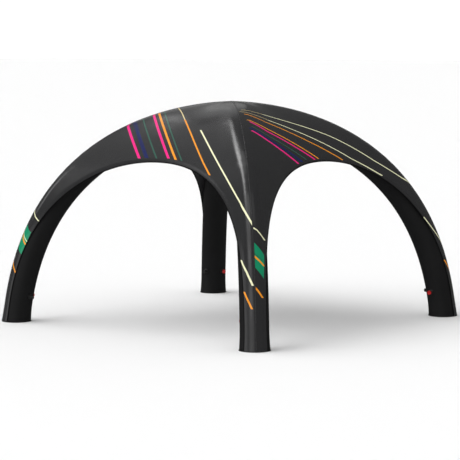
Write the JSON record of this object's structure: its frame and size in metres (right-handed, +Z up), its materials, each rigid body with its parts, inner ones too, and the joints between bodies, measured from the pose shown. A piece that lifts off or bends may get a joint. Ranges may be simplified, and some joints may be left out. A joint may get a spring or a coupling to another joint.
{
  "type": "inflatable spider tent",
  "caption": "Open-sided event tent: inflated arched legs meet at a crown and carry tensioned black fabric faces, each cut away into a wide arch.",
  "frame": {"origin": "on the ground under the crown, midway between the four feet", "axes": "+Z up; the front face looks along -Y and the right face along +X, and the legs stand on the diagonals between the faces"},
  "size_m": [5.209, 5.209, 3.4008],
  "materials": {
    "tube_fabric": "matt charcoal coated fabric of the air tubes",
    "skin_fabric": "matt black polyester with printed diagonal stripes",
    "binding": "matt black woven seam and hem binding",
    "sole": "matt black coated sole fabric",
    "valve_black": "satin black moulded plastic",
    "valve_red": "glossy red moulded plastic"
  },
  "bodies": {
    "root": {"leg_tube_front_left": "tube_fabric", "leg_tube_front_right": "tube_fabric", "leg_tube_back_right": "tube_fabric", "leg_tube_back_left": "tube_fabric", "canopy_front": "skin_fabric", "canopy_right": "skin_fabric", "canopy_back": "skin_fabric", "canopy_left": "skin_fabric", "ridge_seam_front_left": "binding", "ridge_seam_front_right": "binding", "ridge_seam_back_right": "binding", "ridge_seam_back_left": "binding", "arch_hem_front": "binding", "arch_hem_right": "binding", "arch_hem_back": "binding", "arch_hem_left": "binding", "foot_sole_front_left": "sole", "foot_sole_front_right": "sole", "foot_sole_back_right": "sole", "foot_sole_back_left": "sole", "inflation_valve_flange_front_left": "valve_black", "inflation_valve_flange_front_right": "valve_black", "inflation_valve_flange_back_right": "valve_black", "inflation_valve_flange_back_left": "valve_black", "inflation_valve_cap_front_left": "valve_black", "inflation_valve_cap_front_right": "valve_black", "inflation_valve_cap_back_right": "valve_black", "inflation_valve_cap_back_left": "valve_black", "relief_valve_flange_front_left": "valve_black", "relief_valve_flange_front_right": "valve_black", "relief_valve_flange_back_right": "valve_black", "relief_valve_flange_back_left": "valve_black", "relief_valve_cap_front_left": "valve_red", "relief_valve_cap_front_right": "valve_red", "relief_valve_cap_back_right": "valve_red", "relief_valve_cap_back_left": "valve_red"}
  },
  "joints": []
}
